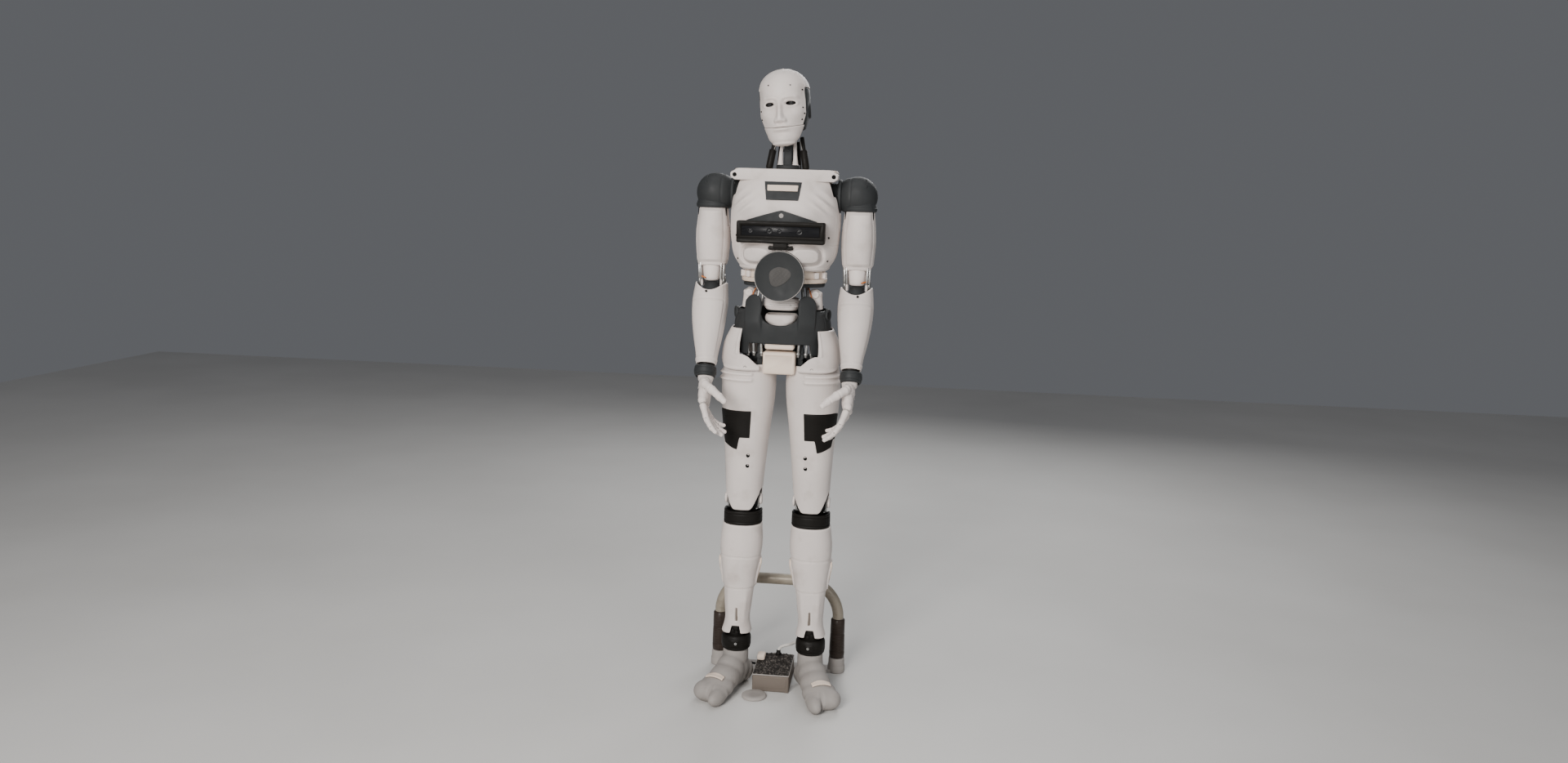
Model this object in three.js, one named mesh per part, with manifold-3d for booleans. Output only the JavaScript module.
// A life-size humanoid robot kit on its own feet, with a tube hoop behind the calves and a power case between the feet.
// Millimetres, +Z up. The robot faces -Y and its own left side is +X. The origin is on the floor under the pelvis.
// Pieces of the left side are made first and mirrored for the right.
import * as THREE from "three";
import { mergeVertices } from "three/addons/utils/BufferGeometryUtils.js";
import Module from "manifold-3d";

const wasm = await Module();
wasm.setup();

// ---- Driving dimensions ----
const WALL = 4; // thickness of the printed shells
const GAP = 0.5; // clearance between two pieces that meet
const PIN = 8; // radius of the joint pins
const AROUND = 14; // facets round a limb

const ANKLE = { x: 112, z: 136, foot: 116 }; // foot is the height where the foot ends
const TOE_OUT = 20; // degrees that each foot points outwards
const SHIN = { low: 170, high: 508 };
const KNEE = { x: 100, z: 562, bandTop: 549 };
const HIP = { x: 92, z: 1000, clear: 106 }; // clear is the radius kept free for the crotch cover
const THIGH = { low: 552, high: 1004, panelLow: 771, panelHigh: 853 };
const BELT = { low: 1048, tab: 1030, high: 1143, horn: 1186, rx: 138, ry: 96 };
const WAIST = { deck: 1146, lean: 1242 };
const RIBS = { low: 1254, high: 1518 };
const PLATE_TOP = 1533;
const DISC = { r: 70, front: -140 };
const SENSOR = { x: 121, low: 1331, high: 1391, front: -146 };
const SHOULDER = { hub: 128, x: 202, z: 1465, r: 52 };
// rest is the elbow's bend at rest, in degrees
const ARM = { x: 208, high: 1423, low: 1256, elbow: 1216, rest: 22 };
const FOREARM = { start: 24, end: 256 }; // distances from the elbow
const HAND = { wrist: 288, knuckle: 378 };
const NECK = { y: 14 };
const HEAD = { chin: 1587, top: 1800, yaw: -5, roll: -6 };
const STAND = { x: 185, y: 150, tube: 17, top: 304, bend: 110 };

// ---- Materials ----
const paint = (color, roughness, metalness = 0) => new THREE.MeshStandardMaterial({ color, roughness, metalness });
const WHITE = paint(0xd8d0ca, 0.5);
const CREAM = paint(0xdccbb8, 0.55);
const DARK = paint(0x3c3e3e, 0.6);
const BLACK = paint(0x16140f, 0.4);
const GREY = paint(0x9a9692, 0.6);
const TUBE = paint(0x94897a, 0.35, 0.3);
const METAL = paint(0x8e8e8e, 0.35, 0.8);

// ---- Solids ----
const rad = (degrees) => (degrees * Math.PI) / 180;

// A closed mesh as a manifold-3d solid, its faces turned out.
function solid(geometry) {
  const plain = geometry.index ? geometry.toNonIndexed() : geometry.clone();
  plain.deleteAttribute("normal");
  plain.deleteAttribute("uv");
  const merged = mergeVertices(plain, 1e-3);
  const vertProperties = merged.attributes.position.array;
  const triVerts = new Uint32Array(merged.index.array);
  const made = new wasm.Manifold(new wasm.Mesh({ numProp: 3, vertProperties, triVerts }));
  if (made.volume() > 0) return made;
  for (let i = 0; i < triVerts.length; i += 3) [triVerts[i], triVerts[i + 1]] = [triVerts[i + 1], triVerts[i]];
  return new wasm.Manifold(new wasm.Mesh({ numProp: 3, vertProperties, triVerts }));
}

function geometryOf(made) {
  const { vertProperties, triVerts, numProp, numVert } = made.getMesh();
  const position = new Float32Array(numVert * 3);
  for (let i = 0; i < numVert; i++) position.set(vertProperties.subarray(i * numProp, i * numProp + 3), i * 3);
  const geometry = new THREE.BufferGeometry();
  geometry.setAttribute("position", new THREE.BufferAttribute(position, 3));
  geometry.setIndex(new THREE.BufferAttribute(triVerts, 1));
  geometry.computeVertexNormals();
  return geometry;
}

const cut = (body, ...tools) => tools.reduce((left, tool) => left.subtract(tool), body);
const join = (body, ...more) => more.reduce((sum, piece) => sum.add(piece), body);
const mirrored = (made) => made.mirror([1, 0, 0]);
const bothSides = (made) => join(made, mirrored(made));

// A solid turned by degrees about the X, Y and Z axes through a point, Z first.
function turned(made, [x, y, z], [rx, ry, rz]) {
  return made.translate([-x, -y, -z]).rotate([0, 0, rz]).rotate([0, ry, 0]).rotate([rx, 0, 0]).translate([x, y, z]);
}

// A box between two corners.
function block([x0, y0, z0], [x1, y1, z1]) {
  const made = new THREE.BoxGeometry(x1 - x0, y1 - y0, z1 - z0);
  return solid(made.translate((x0 + x1) / 2, (y0 + y1) / 2, (z0 + z1) / 2));
}

// A round bar from one point to another, tapered where the radii differ.
function bar(from, to, radius, endRadius = radius, sides = 12) {
  const [a, b] = [new THREE.Vector3(...from), new THREE.Vector3(...to)];
  const made = new THREE.CylinderGeometry(endRadius, radius, a.distanceTo(b), sides);
  const turn = new THREE.Quaternion().setFromUnitVectors(new THREE.Vector3(0, 1, 0), b.clone().sub(a).normalize());
  made.applyQuaternion(turn);
  return solid(made.translate(...a.add(b).divideScalar(2)));
}

const barX = (x0, x1, [y, z], radius, sides) => bar([x0, y, z], [x1, y, z], radius, radius, sides);
const barY = (y0, y1, [x, z], radius, sides) => bar([x, y0, z], [x, y1, z], radius, radius, sides);
const ball = (centre, radius, sides = 20) => solid(new THREE.SphereGeometry(radius, sides, sides / 2).translate(...centre));

// A plate with an outline of [x, z] points, between two values of y.
function plate(points, y0, y1) {
  const outline = new THREE.Shape(points.map(([x, z]) => new THREE.Vector2(x, z)));
  const made = new THREE.ExtrudeGeometry(outline, { depth: y1 - y0, bevelEnabled: false });
  return solid(made.rotateX(Math.PI / 2).translate(0, y1, 0));
}

// A plate with an outline of [y, z] points, between two values of x.
const sidePlate = (points, x0, x1) => plate(points.map(([y, z]) => [y, z]), -x1, -x0).rotate([0, 0, 90]);

// A ring of points round an oval section. front and back are its depths towards -Y and +Y.
function oval({ z, x = 0, y = 0, rx, front, back = front, power = 2.2 }, around = AROUND) {
  const soft = (value) => Math.sign(value) * Math.abs(value) ** (2 / power);
  return Array.from({ length: around }, (_, i) => {
    const turn = (i / around) * 2 * Math.PI;
    const depth = Math.sin(turn) > 0 ? back : front;
    return new THREE.Vector3(x + rx * soft(Math.cos(turn)), y + depth * soft(Math.sin(turn)), z);
  });
}

// A skin through rings of points: with flat ends, or closed on itself as a tube's outside and inside are.
function skin(rings, closed = false) {
  const around = rings[0].length;
  const points = rings.flat();
  const total = points.length;
  const faces = [];
  for (let i = 0; i < (closed ? rings.length : rings.length - 1); i++) {
    for (let k = 0; k < around; k++) {
      const [a, b] = [i * around + k, i * around + ((k + 1) % around)];
      const [c, d] = [(a + around) % total, (b + around) % total];
      faces.push(a, b, d, a, d, c);
    }
  }
  for (const [ring, last] of closed ? [] : [[0, false], [rings.length - 1, true]]) {
    points.push(rings[ring].reduce((sum, p) => sum.add(p), new THREE.Vector3()).divideScalar(around));
    for (let k = 0; k < around; k++) {
      const edge = [ring * around + k, ring * around + ((k + 1) % around)];
      faces.push(points.length - 1, ...(last ? edge : edge.reverse()));
    }
  }
  const geometry = new THREE.BufferGeometry().setFromPoints(points);
  geometry.setIndex(faces);
  return solid(geometry);
}

const loft = (sections, around) => skin(sections.map((s) => oval(s, around)));
const drawnIn = (sections, by) =>
  sections.map((s) => ({ ...s, rx: s.rx - by, front: s.front - by, back: (s.back ?? s.front) - by }));

// A tube through the sections, open at both ends.
function sleeve(sections, wall = WALL, around = AROUND) {
  const outer = sections.map((s) => oval(s, around));
  const inner = drawnIn(sections, wall).map((s) => oval(s, around));
  return skin([...outer, ...inner.reverse()], true);
}

// A section of the list at any height between its first and last, by straight lines between neighbours.
function sectionAt(sections, z) {
  const i = Math.max(1, sections.findIndex((s) => s.z >= z));
  const [a, b] = [sections[i - 1], sections[i]];
  const mix = (z - a.z) / (b.z - a.z);
  const between = (key) => (a[key] ?? 0) * (1 - mix) + (b[key] ?? 0) * mix;
  const back = (a.back ?? a.front) * (1 - mix) + (b.back ?? b.front) * mix;
  return { z, x: between("x"), y: between("y"), rx: between("rx"), front: between("front"), back, power: a.power };
}

// A flat floor that fills the inside of a sleeve between two heights, with two holes for wires.
function bulkhead(sections, low, high) {
  const ends = [low, high].map((z) => sectionAt(sections, z));
  const { x, rx } = ends[0];
  const holes = [-0.68, 0.68].map((share) => bar([x + share * rx, 0, low - 5], [x + share * rx, 0, high + 5], 5, 5, 8));
  return cut(loft(drawnIn(ends, WALL / 2)), ...holes);
}

// A rounded bar along a line of points, with a radius at each of them; across is a direction square to the line.
function sweep(points, radii, across = [1, 0, 0], sides = 8) {
  const path = points.map((p) => new THREE.Vector3(...p));
  const wide = new THREE.Vector3(...across).normalize();
  return skin(path.map((p, i) => {
    const along = path[Math.min(i + 1, path.length - 1)].clone().sub(path[Math.max(i - 1, 0)]).normalize();
    const deep = new THREE.Vector3().crossVectors(along, wide).normalize();
    const level = new THREE.Vector3().crossVectors(deep, along).normalize();
    return Array.from({ length: sides }, (_, k) => {
      const turn = (k / sides) * 2 * Math.PI;
      return p.clone().addScaledVector(level, Math.cos(turn) * radii[i]).addScaledVector(deep, Math.sin(turn) * radii[i]);
    });
  }));
}

const robot = new THREE.Group();

function add(name, made, material) {
  const mesh = new THREE.Mesh(geometryOf(made), material);
  mesh.name = name;
  robot.add(mesh);
}

// The left piece and its mirror image on the right.
function addPair(name, made, material) {
  add(`${name}_left`, made, material);
  add(`${name}_right`, mirrored(made), material);
}

// ---- Stand and power case ----
const CASE = { x: 55, front: -47, back: 122, high: 50, lid: 56 };

function buildStand() {
  const { x, y, tube, top, bend } = STAND;
  const socket = bar([x, y, 0], [x, y, 46], 26, 24, 16);
  const tongue = block([ANKLE.x - 54, y - 60, 0], [ANKLE.x - 10, y, 10]);
  const bores = bothSides(bar([x, y, 10], [x, y, 60], tube + GAP, tube + GAP, 16));
  const strap = block([-x, y - 22, 0], [x, y + 22, 10]);
  add("base_bar", cut(join(strap, bothSides(join(socket, tongue))), bores), GREY);

  const half = new THREE.Path();
  half.moveTo(x, 11).lineTo(x, top - tube - bend);
  half.absarc(x - bend, top - tube - bend, bend, 0, Math.PI / 2, false);
  const corner = half.getPoints(5).map((p) => [p.x, y, p.y]);
  const route = [...corner, ...corner.map(([px, py, pz]) => [-px, py, pz]).reverse()];
  add("support_hoop", sweep(route, route.map(() => tube), [0, 1, 0], 10), TUBE);

  const grip = bar([x, y, 46 + GAP], [x, y, 172], tube + 7, tube + 5, 16);
  addPair("hoop_sleeve", cut(grip, bar([x, y, 40], [x, y, 180], tube + GAP, tube + GAP, 16)), BLACK);

  const shell = block([-CASE.x, CASE.front, 0], [CASE.x, CASE.back, CASE.high]);
  add("power_case", cut(shell, block([-47, -39, 4], [47, 114, CASE.high + 1])), GREY);
  const cover = block([-CASE.x, CASE.front, CASE.high + GAP], [CASE.x, CASE.back, CASE.lid]);
  const ribs = [-30, 10, 50, 90].map((at) => block([-44, at - 8, CASE.lid - 1], [44, at + 8, CASE.lid + 4]));
  add("power_case_lid", join(cover, ...ribs), GREY);
  add("floor_pad", bar([-43, -86, 0], [-43, -86, 9], 36.5, 34, 24), GREY);
  const lead = [[6, 110, CASE.lid + GAP], [6, 111, 70], [16, 112, 82], [42, 104, 94], [58, 74, 112], [72, 33.5, 127]];
  add("power_cable", sweep(lead, lead.map(() => 5), [0, 1, 0], 10), WHITE);
}

// ---- Legs. Each body is built round its own upright line; x is outwards from it. ----
const SHIN_SECTIONS = [
  { z: SHIN.low, x: ANKLE.x, rx: 44, front: 45, back: 46 },
  { z: SHIN.low + 32, x: 110, rx: 39, front: 40, back: 42 },
  { z: SHIN.low + 88, x: 108, rx: 42, front: 43, back: 50 },
  { z: SHIN.low + 153, x: 106, rx: 49, front: 48, back: 60 },
  { z: SHIN.high - 114, x: 104, rx: 58, front: 54, back: 72 },
  { z: SHIN.high - 57, x: 102, rx: 61, front: 57, back: 76 },
  { z: SHIN.high, x: KNEE.x, rx: 57, front: 56, back: 66 },
];
const THIGH_SECTIONS = [
  { z: THIGH.low, x: KNEE.x, rx: 51, front: 54, back: 54 },
  { z: THIGH.low + 68, x: 99, rx: 53, front: 58, back: 58 },
  { z: THIGH.low + 151, x: 97, rx: 59, front: 67, back: 66 },
  { z: THIGH.low + 245, x: 95, rx: 66, front: 76, back: 76 },
  { z: 900, x: 89, rx: 76, front: 83, back: 86 },
  { z: 965, x: 87, rx: 79, front: 85, back: 92 },
  { z: THIGH.high, x: 90, rx: 74, front: 80, back: 92 },
];

function buildFoot() {
  const { x, z } = ANKLE;
  const foot = loft([
    { z: 0, y: -66, rx: 48, front: 136, back: 128, power: 2.6 },
    { z: 12, y: -66, rx: 54, front: 142, back: 132, power: 2.6 },
    { z: 34, y: -62, rx: 52, front: 138, back: 130, power: 2.5 },
    { z: 54, y: -46, rx: 46, front: 108, back: 112, power: 2.4 },
    { z: 84, y: -20, rx: 41, front: 64, back: 76, power: 2.3 },
    { z: ANKLE.foot, y: -1, rx: 38, front: 40, back: 42 },
  ], 20);
  const cheeks = [-22, 16].map((at) => block([at, -16, ANKLE.foot - 18], [at + 6, 16, z + 14]));
  const pin = barX(-20, 20, [0, z], PIN, 16);
  const placed = turned(join(foot, ...cheeks, pin), [0, 0, 0], [0, 0, TOE_OUT]).translate([x, 0, 0]);
  const cuff = sleeve([
    { z: ANKLE.foot + 2, x, rx: 42, front: 43, back: 43 },
    { z: ANKLE.foot + 23, x, rx: 44, front: 45, back: 45 },
    { z: ANKLE.foot + 37, x, rx: 43, front: 44, back: 44 },
    { z: ANKLE.foot + 47, x, rx: 39, front: 40, back: 40 },
  ], 6);
  return { foot: placed, cuff };
}

// An eye on a post that hangs from a bulkhead, bored for a pin along X.
function tongue(x, half, pivot, top, reach = 17) {
  const post = block([x - half, -12, Math.min(pivot, top)], [x + half, 12, Math.max(pivot, top)]);
  return cut(join(post, barX(x - half, x + half, [0, pivot], reach)), barX(x - half - 1, x + half + 1, [0, pivot], PIN + GAP));
}

function buildLeg() {
  const { foot, cuff } = buildFoot();
  // The ankle's tongue is square to X, so the fork in the foot is opened wide enough for the foot's outward turn.
  const forkRoom = block([ANKLE.x - 15, -34, ANKLE.foot + 0.5], [ANKLE.x + 15, 34, ANKLE.z + 40]);
  const pin = barX(ANKLE.x - 16, ANKLE.x + 16, [0, ANKLE.z], PIN, 16);
  addPair("foot", join(cut(foot, forkRoom), pin), GREY);
  addPair("ankle_band", cuff, BLACK);

  const shell = sleeve(SHIN_SECTIONS);
  const slot = block([ANKLE.x - 6, -70, SHIN.low + 34], [ANKLE.x + 1, -20, SHIN.low + 76]);
  const arch = sidePlate([[-90, SHIN.low - 4], [-90, SHIN.low + 22], [-30, SHIN.low + 14], [-2, SHIN.low - 4]], 20, 200);
  const skirt = block([0, -100, SHIN.low - 2], [220, 100, SHIN.high + 2]);
  const foreHalf = block([0, -200, ANKLE.z], [220, 4, KNEE.z]);
  const rearHalf = block([0, 4 + GAP, ANKLE.z], [220, 200, KNEE.z]);
  const floors = join(
    bulkhead(SHIN_SECTIONS, SHIN.low + 26, SHIN.low + 33).intersect(foreHalf),
    bulkhead(SHIN_SECTIONS, SHIN.high - 16, SHIN.high - 8).intersect(foreHalf),
  );
  const ankleEye = tongue(ANKLE.x, 10, ANKLE.z, SHIN.low + 30);
  const kneeCheeks = [-22, 14].map((at) => block([KNEE.x + at, -16, SHIN.high - 14], [KNEE.x + at + 8, 0, KNEE.z]));
  const kneeRounds = [-22, 14].map((at) => barX(KNEE.x + at, KNEE.x + at + 8, [0, KNEE.z], 16));
  const kneePin = barX(KNEE.x - 20, KNEE.x + 20, [0, KNEE.z], PIN, 16);
  const front = cut(shell.intersect(skirt).intersect(foreHalf), slot, arch);
  addPair("shin_shell", join(front, floors, ankleEye, ...kneeCheeks, ...kneeRounds, kneePin), WHITE);
  addPair("calf_shell", shell.intersect(rearHalf), WHITE);
  const band = sleeve([
    { z: SHIN.high + GAP, x: KNEE.x, rx: 57, front: 57, back: 58 },
    { z: KNEE.bandTop, x: KNEE.x, rx: 56, front: 57, back: 57 },
  ], 7);
  const backRoom = sidePlate([[-8, KNEE.bandTop + 1], [70, KNEE.bandTop + 1], [70, KNEE.bandTop - 26]], 20, 180);
  addPair("knee_band", cut(band, backRoom), BLACK);

  const thigh = sleeve(THIGH_SECTIONS);
  const kneeRoom = sidePlate([[-6, THIGH.low - 3], [90, THIGH.low - 3], [90, THIGH.low + 74]], 20, 180);
  const crotchRoom = barX(-50, 50, [0, HIP.z], HIP.clear, 32);
  const window = block([52, -200, THIGH.panelLow], [138, -20, THIGH.panelHigh]);
  const floorsUp = join(bulkhead(THIGH_SECTIONS, THIGH.low + 67, THIGH.low + 75), bulkhead(THIGH_SECTIONS, 880, 888));
  const kneeEye = tongue(KNEE.x, 11, KNEE.z, THIGH.low + 71);
  const hipEye = tongue(HIP.x, 12, HIP.z, 884, 24);
  const shut = cut(thigh, kneeRoom, crotchRoom, window);
  addPair("thigh_shell", cut(join(shut, cut(floorsUp, crotchRoom), kneeEye, hipEye), crotchRoom), WHITE);
  const panelBox = block([52 + GAP, -200, THIGH.panelLow + GAP], [138 - GAP, -20, THIGH.panelHigh - GAP]);
  addPair("thigh_panel", thigh.intersect(panelBox), BLACK);
}

// ---- Pelvis ----
function buildPelvis() {
  const { low, tab, high, horn, rx, ry } = BELT;
  const ring = sleeve([
    { z: tab, rx, front: ry, power: 2.5 },
    { z: horn, rx, front: ry, power: 2.5 },
  ], 6, 32);
  const half = [[0, low], [66, low], [70, tab + 1], [104, tab + 1], [108, low + 4], [150, low + 14], [150, high]];
  const inner = [[104, high], [98, horn - 12], [86, horn - 3], [64, horn - 3], [52, horn - 14], [44, high], [30, 1110], [0, 1106]];
  const outline = [...half, ...inner];
  const other = outline.slice(1, -1).map(([x, z]) => [-x, z]).reverse();
  const face = plate([...outline, ...other], -130, 0);
  const rear = block([-160, 0, low], [160, 130, high]);
  const web = block([-135, -8, low + 4], [135, 8, low + 20]);
  const deck = bar([0, 0, low + 4], [0, 0, WAIST.deck - 8], 46, 40, 24);
  const shell = ring.intersect(join(face, rear));
  add("pelvis_belt", join(shell, web, block([-8, -92, low + 4], [8, 92, low + 20]), deck), DARK);

  const stem = block([-24, -12, HIP.z], [24, 12, low + 3.5]);
  const axle = barX(-HIP.x - 18, HIP.x + 18, [0, HIP.z], PIN, 16);
  const hub = barX(-HIP.x + 14, HIP.x - 14, [0, HIP.z], PIN + 6, 16);
  add("hip_block", join(axle, hub, stem), METAL);
  const cover = block([-45, -86, 962], [45, -40, 1034]);
  const top = block([-46, -84, 1033], [46, -44, low - GAP]);
  const hold = block([-20, -41, 1002], [20, -15, 1024]);
  add("crotch_cover", join(cover, top, hold), CREAM);
}

// ---- Waist and torso ----
function buildWaist() {
  const { deck, lean } = WAIST;
  const floor = block([-116, -24, deck], [116, 24, deck + 8]);
  const post = bar([106, 0, deck + 4], [100, 0, 1184], 15, 12, 16);
  const trunk = bar([0, 0, deck + 2], [0, 0, lean - 24], 40, 24, 16);
  const stalk = block([-17, -20, lean - 26], [17, 20, lean]);
  const eye = barY(-20, 20, [0, lean], 18, 16);
  const lobe = block([-44, -74, deck], [44, -20, 1174]);
  const arm = block([-12, DISC.front + 16, deck + 10], [12, -60, 1170]);
  const riser = block([-12, DISC.front + 16 + GAP, deck + 10], [12, -110, 1200]);
  const made = join(floor, bothSides(post), trunk, stalk, eye, lobe, arm, riser);
  add("waist_column", cut(made, barY(-30, 30, [0, lean], PIN + GAP + 2)), WHITE);
  const puck = barY(DISC.front, DISC.front + 14, [0, lean], DISC.r, 40);
  const stub = barY(DISC.front + 13, DISC.front + 16, [0, lean], 30, 24);
  add("stomach_disc", join(puck, stub), DARK);

  const cuff = sleeve([
    { z: 1210, rx: 108, front: 82 },
    { z: 1226, rx: 114, front: 88 },
    { z: RIBS.low - GAP, rx: 118, front: 92 },
  ], 8, 32);
  const discRoom = barY(-200, -60, [0, lean], DISC.r + 3, 32);
  const floorUp = block([-112, 34, 1228], [112, 60, 1240]);
  const cheeks = [-30, 22].map((at) => block([-16, at, lean - 12], [16, at + 8, RIBS.low + 12]));
  const bridge = block([-16, -30, RIBS.low + 8], [16, 60, RIBS.low + 18]);
  const strut = block([-16, 52, 1228], [16, 60, RIBS.low + 18]);
  const pin = barY(-30, 30, [0, lean], PIN + 2);
  const trunkRoom = bar([0, 0, 1100], [0, 0, lean], 60, 40, 24);
  const ring = cut(join(cuff, floorUp), discRoom, trunkRoom);
  add("waist_ring", join(ring, ...cheeks, bridge, strut, pin), CREAM);
}

const CHEST_SECTIONS = [
  { z: RIBS.low, rx: 118, front: 96, back: 84, power: 2.5 },
  { z: 1285, rx: 138, front: 114, back: 96, power: 2.5 },
  { z: 1340, rx: 150, front: 122, back: 106, power: 2.6 },
  { z: 1400, rx: 152, front: 124, back: 110, power: 2.6 },
  { z: 1455, rx: 149, front: 118, back: 106, power: 2.6 },
  { z: 1495, rx: 146, front: 104, back: 96, power: 2.7 },
  { z: RIBS.high, rx: 142, front: 88, back: 84, power: 2.9 },
];

function buildTorso() {
  const shell = sleeve(CHEST_SECTIONS, WALL, 28);
  const { x, z, r, hub } = SHOULDER;
  const armhole = barX(112, 200, [0, z], r + 8, 32);
  const bay = block([-SENSOR.x - 3, -200, SENSOR.low - 3], [SENSOR.x + 3, -60, SENSOR.high + 3]);
  const throat = block([-28, -200, SENSOR.low - 16], [28, -60, SENSOR.low]);
  const discRoom = barY(-200, -60, [0, WAIST.lean], DISC.r + 4, 40);
  const fore = block([-200, -200, 1200], [200, 0, 1600]);
  const aft = block([-200, GAP, 1200], [200, 200, 1600]);
  add("chest_shell", cut(shell.intersect(fore), bothSides(armhole), bay, throat, discRoom), WHITE);
  add("back_shell", cut(shell.intersect(aft), bothSides(armhole)), WHITE);

  const lid = loft([
    { z: RIBS.high + GAP, rx: 142, front: 86, back: 82, power: 3 },
    { z: PLATE_TOP - 4, rx: 140, front: 82, back: 78, power: 3 },
    { z: PLATE_TOP, rx: 134, front: 76, back: 72, power: 3 },
  ], 32);
  const neckHole = bar([0, NECK.y, 1500], [0, NECK.y, 1600], 22, 22, 20);
  const cheeks = [-34, 26].map((at) => block([hub - 18, at, z - 12], [hub + 5, at + 8, RIBS.high + 4]));
  const pin = barY(-30, 30, [hub, z], PIN);
  const spine = block([-16, 58, RIBS.low + 60], [16, 70, RIBS.high + 4]);
  add("shoulder_yoke", join(cut(lid, neckHole), bothSides(join(pin, ...cheeks)), spine), WHITE);

  const body = block([-SENSOR.x, SENSOR.front, SENSOR.low], [SENSOR.x, -100, SENSOR.high]);
  const pedestal = block([-24, SENSOR.front + 12, SENSOR.low - 13], [24, -104, SENSOR.low + 1]);
  add("depth_camera", join(body, pedestal), BLACK);
}

// ---- Arms ----
function buildShoulder() {
  const { hub, x, z, r } = SHOULDER;
  const eye = cut(barY(-25, 25, [hub, z], 18, 16), barY(-30, 30, [hub, z], PIN + GAP));
  const neck = block([hub + 11, -21, z - 13], [149, 21, z + 13]);
  const flange = barX(147.5, 153, [0, z], 46, 28);
  const shaft = barX(151, 186, [0, z], 14, 16);
  addPair("shoulder_hub", join(eye, neck, flange, shaft), DARK);

  const dome = cut(ball([x, 0, z], r, 22), block([0, -80, z - 80], [300, 80, ARM.high + GAP]));
  const medial = block([0, -80, z - 80], [153 + GAP, 80, z + 80]);
  const bore = barX(140, 188, [0, z], 14 + GAP);
  const skirt = loft([
    { z: ARM.high + GAP, x: ARM.x, rx: 45, front: 46 },
    { z: z, x: ARM.x, rx: 46, front: 46 },
  ]);
  const socket = bar([ARM.x, 0, 1400], [ARM.x, 0, ARM.high + 18], 16 + GAP, 16 + GAP, 20);
  const cap = cut(join(dome, skirt), medial, bore, socket);
  addPair("shoulder_cap", cap, DARK);
}

const UPPER_ARM_SECTIONS = [
  { z: ARM.low, x: ARM.x, rx: 42, front: 43 },
  { z: ARM.low + 32, x: ARM.x, rx: 44, front: 46 },
  { z: ARM.high - 63, x: ARM.x, rx: 46, front: 48 },
  { z: ARM.high, x: ARM.x, rx: 44, front: 44 },
];

function buildUpperArm() {
  const shell = sleeve(UPPER_ARM_SECTIONS);
  const top = bulkhead(UPPER_ARM_SECTIONS, ARM.high - 10, ARM.high);
  const base = bulkhead(UPPER_ARM_SECTIONS, ARM.low + 19, ARM.low + 27);
  const spigot = bar([ARM.x, 0, ARM.high - 2], [ARM.x, 0, ARM.high + 17], 16, 16, 20);
  const elbowEye = tongue(ARM.x, 12, ARM.elbow, ARM.low + 23, 19);
  const elbowRoom = sidePlate([[-70, ARM.low - 11], [-70, ARM.low + 29], [10, ARM.low - 5], [10, ARM.low - 11]], 120, 300);
  addPair("upper_arm", join(cut(shell, elbowRoom), top, base, spigot, elbowEye), WHITE);
}

// The forearm and hand are built hanging straight down from the elbow, then turned forwards by the rest bend.
const FOREARM_SECTIONS = [
  { z: ARM.elbow - FOREARM.end, x: ARM.x - 3, rx: 29, front: 31 },
  { z: ARM.elbow - 190, x: ARM.x - 2, rx: 36, front: 38 },
  { z: ARM.elbow - 120, x: ARM.x, rx: 46, front: 47 },
  { z: ARM.elbow - 70, x: ARM.x, rx: 50, front: 50 },
  { z: ARM.elbow - FOREARM.start, x: ARM.x, rx: 46, front: 45 },
];
const bent = (made) => turned(made, [ARM.x, 0, ARM.elbow], [-ARM.rest, 0, 0]);

function buildForearm() {
  const shell = sleeve(FOREARM_SECTIONS);
  const room = sidePlate([[-70, ARM.elbow - 51], [14, ARM.elbow - 19], [14, ARM.elbow - 9], [-70, ARM.elbow - 9]], 120, 300);
  const floor = bulkhead(FOREARM_SECTIONS, ARM.elbow - 65, ARM.elbow - 57);
  const cheeks = [-24, 16].map((at) => block([ARM.x + at, -14, ARM.elbow - 63], [ARM.x + at + 8, 14, ARM.elbow]));
  const rounds = [-24, 16].map((at) => barX(ARM.x + at, ARM.x + at + 8, [0, ARM.elbow], 16));
  const pin = barX(ARM.x - 20, ARM.x + 20, [0, ARM.elbow], PIN);
  const end = bulkhead(FOREARM_SECTIONS, ARM.elbow - FOREARM.end, ARM.elbow - FOREARM.end + 8);
  const made = join(cut(shell, room), floor, end, ...cheeks, ...rounds, pin);
  addPair("forearm", bent(made), WHITE);
}

const PALM = { x: ARM.x - 6, y: -2, thick: 14 };
// Each finger: its place across the palm, its length and the angle of its curl towards the body.
const FINGERS = {
  index: { y: -30, length: 84, curl: 30, r: 9 },
  middle: { y: -10, length: 92, curl: 34, r: 9.5 },
  ring: { y: 10, length: 86, curl: 38, r: 9 },
  little: { y: 29, length: 68, curl: 42, r: 8 },
};

// A finger that hangs from its knuckle, rounded about it, and curls towards the body's middle line as it goes.
function finger({ y, length, curl, r }, z) {
  let [x, down, angle] = [PALM.x, z - r, curl * 0.2];
  const points = [[x, y, z], [x, y, z - r * 0.4], [x, y, down]];
  for (const share of [0.42, 0.3, 0.28]) {
    x -= Math.sin(rad(angle)) * length * share;
    down -= Math.cos(rad(angle)) * length * share;
    points.push([x, y, down]);
    angle += curl * 0.65;
  }
  return sweep(points, [r * 0.45, r * 0.85, r, r, r * 0.9, r * 0.62], [0, 1, 0], 10);
}

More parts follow.
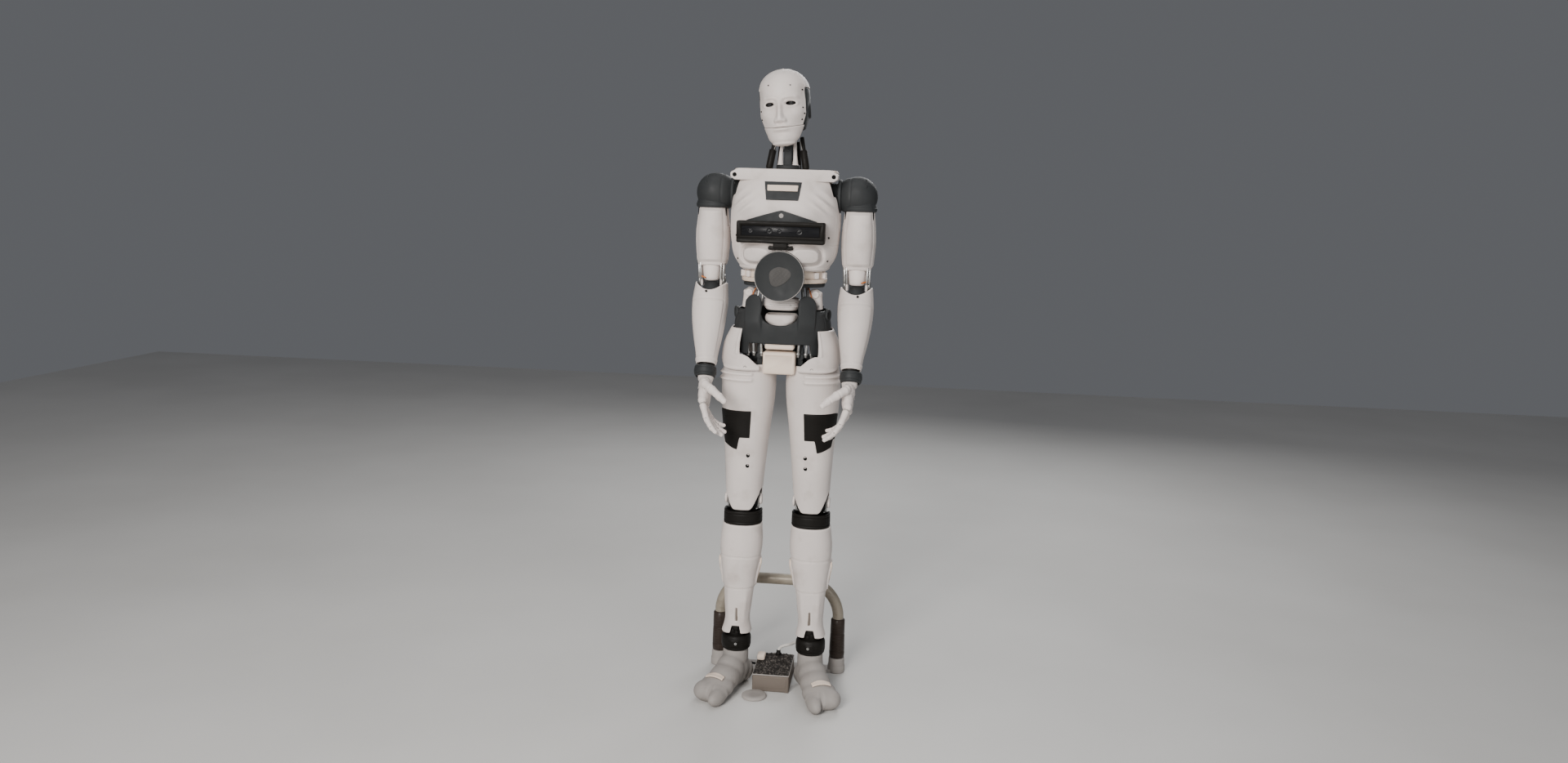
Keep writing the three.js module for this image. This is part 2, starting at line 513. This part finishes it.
function buildHand() {
  const wrist = ARM.elbow - HAND.wrist;
  const knuckle = ARM.elbow - HAND.knuckle;
  const start = ARM.elbow - FOREARM.end;
  const cuff = loft([
    { z: wrist, x: PALM.x, y: PALM.y, rx: 27, front: 30 },
    { z: start - GAP, x: ARM.x - 3, rx: 30, front: 32 },
  ]);
  addPair("wrist_cuff", bent(cuff), DARK);
  const palm = loft([
    { z: knuckle + 10, x: PALM.x, y: PALM.y, rx: PALM.thick, front: 38, back: 38, power: 2.8 },
    { z: knuckle + 50, x: PALM.x, y: PALM.y, rx: PALM.thick + 2, front: 38, back: 36, power: 2.6 },
    { z: wrist - GAP, x: PALM.x, y: PALM.y, rx: 20, front: 24, back: 24 },
  ]);
  addPair("palm", bent(palm), GREY);
  for (const [name, spec] of Object.entries(FINGERS)) {
    addPair(`${name}_finger`, bent(finger(spec, knuckle + 8)), GREY);
  }
  const root = [PALM.x - 6, -36 - 12, wrist - 30];
  const thumb = [root, [PALM.x - 18, -60, wrist - 54], [PALM.x - 38, -66, wrist - 78], [PALM.x - 56, -66, wrist - 92]];
  addPair("thumb", bent(sweep(thumb, [9, 10, 9, 6], [0, 1, 0], 10)), GREY);
}

// ---- Neck and head, built facing straight ahead and then turned ----
const HEAD_SECTIONS = [
  { z: 0, y: -56, rx: 22, front: 18, back: 16 },
  { z: 12, y: -44, rx: 37, front: 36, back: 36 },
  { z: 36, y: -24, rx: 52, front: 62, back: 62 },
  { z: 70, y: -8, rx: 64, front: 82, back: 84 },
  { z: 110, y: 0, rx: 70, front: 92, back: 94 },
  { z: 150, y: 2, rx: 71, front: 92, back: 94 },
  { z: 182, y: 3, rx: 60, front: 76, back: 80 },
  { z: 203, y: 3, rx: 38, front: 48, back: 52 },
  { z: HEAD.top - HEAD.chin, y: 3, rx: 12, front: 15, back: 17 },
].map((s) => ({ ...s, z: s.z + HEAD.chin }));
const EYE = { x: 30, y: -62, z: HEAD.chin + 112, r: 13 };
const JAW = { y: -8, z: HEAD.chin + 58 };
const EAR = { front: -34, brow: HEAD.chin + 154, rise: HEAD.chin + 162 };
const yawed = (made) => turned(made, [0, NECK.y, 0], [0, 0, HEAD.yaw]);
// Turned and rolled with the head: first the roll, about the nod pivot, then the yaw.
const posed = (made) => yawed(turned(made, [0, NECK.y, HEAD.chin + 60], [0, HEAD.roll, 0]));

function buildNeck() {
  const pivot = HEAD.chin + 60;
  const column = bar([0, NECK.y, PLATE_TOP + GAP], [0, NECK.y, pivot], 16, 13, 20);
  const spigot = bar([0, NECK.y, 1506], [0, NECK.y, PLATE_TOP + 2], 14, 14, 20);
  const foot = bar([0, NECK.y, PLATE_TOP + GAP], [0, NECK.y, PLATE_TOP + 10], 34, 30, 24);
  const rod = sweep([[30, NECK.y, PLATE_TOP + 5], [25, NECK.y, 1560], [23, NECK.y + 2, 1612]], [7, 5, 5]);
  const brace = block([-23, NECK.y - 4, 1602], [23, NECK.y + 4, 1612]);
  const pin = barX(-28, 28, [NECK.y, pivot], 7);
  const made = join(column, spigot, foot, bothSides(rod), brace);
  add("neck_column", join(yawed(made), posed(pin)), DARK);
}

function buildHead() {
  const inside = drawnIn(HEAD_SECTIONS, WALL + 1);
  const [low, high] = [inside[0], inside[inside.length - 1]];
  inside[0] = { ...low, z: low.z + 5 };
  inside[inside.length - 1] = { ...high, z: high.z - 5 };
  const neckWay = block([-46, -34, HEAD.chin - 20], [46, 110, HEAD.chin + 46]);
  const shell = cut(loft(HEAD_SECTIONS, 20), loft(inside, 20), neckWay);
  // The jaw lies below a line from its hinge to the mouth, and its rear edge slants forwards to leave it room to open.
  const mouthLine = (lift) => [[-130, HEAD.chin - 5], [-130, HEAD.chin + 44 + lift], [JAW.y, JAW.z + lift]];
  const jawForm = sidePlate([...mouthLine(0), [JAW.y - 14, HEAD.chin - 5]], -90, 90);
  const jawRoom = sidePlate([...mouthLine(GAP), [0, JAW.z + GAP], [0, HEAD.chin - 5]], -90, 90);
  const ahead = block([-90, -130, HEAD.chin - 10], [90, EAR.front, HEAD.top + 10]);
  const behind = block([-90, EAR.front + GAP, HEAD.chin - 10], [90, 130, HEAD.top + 10]);
  const sockets = bothSides(bar([EYE.x, -120, EYE.z], [EYE.x, -40, EYE.z], 12, 12, 18));
  const nose = sweep([[0, -82, 128], [0, -92, 104], [0, -102, 84], [0, -92, 74]]
    .map(([x, y, z]) => [x, y, z + HEAD.chin]), [6, 8, 11, 7]);
  const ridge = cut(nose, loft(drawnIn(HEAD_SECTIONS, 2), 20));
  add("face_mask", posed(cut(join(shell.intersect(ahead), ridge), jawRoom, sockets)), WHITE);
  add("jaw", posed(shell.intersect(jawForm)), WHITE);

  // The dark rear panel wraps round below the ear line, and the cap closes the top.
  const below = (lower) => {
    const [brow, rise, floor] = [EAR.brow - lower, EAR.rise - lower, HEAD.chin - 10];
    return sidePlate([[-60, floor], [-60, brow], [40, rise], [130, rise], [130, floor]], -90, 90);
  };
  add("skull_cap", posed(cut(shell.intersect(behind), below(0))), WHITE);
  add("head_back", posed(cut(shell.intersect(behind).intersect(below(GAP)), jawRoom)), DARK);
  const pair = bothSides(ball([EYE.x, EYE.y, EYE.z], EYE.r, 12));
  add("eye_pair", posed(join(pair, barX(-EYE.x, EYE.x, [EYE.y, EYE.z], 4, 8))), WHITE);
}

buildStand();
buildLeg();
buildPelvis();
buildWaist();
buildTorso();
buildShoulder();
buildUpperArm();
buildForearm();
buildHand();
buildNeck();
buildHead();

export default robot;
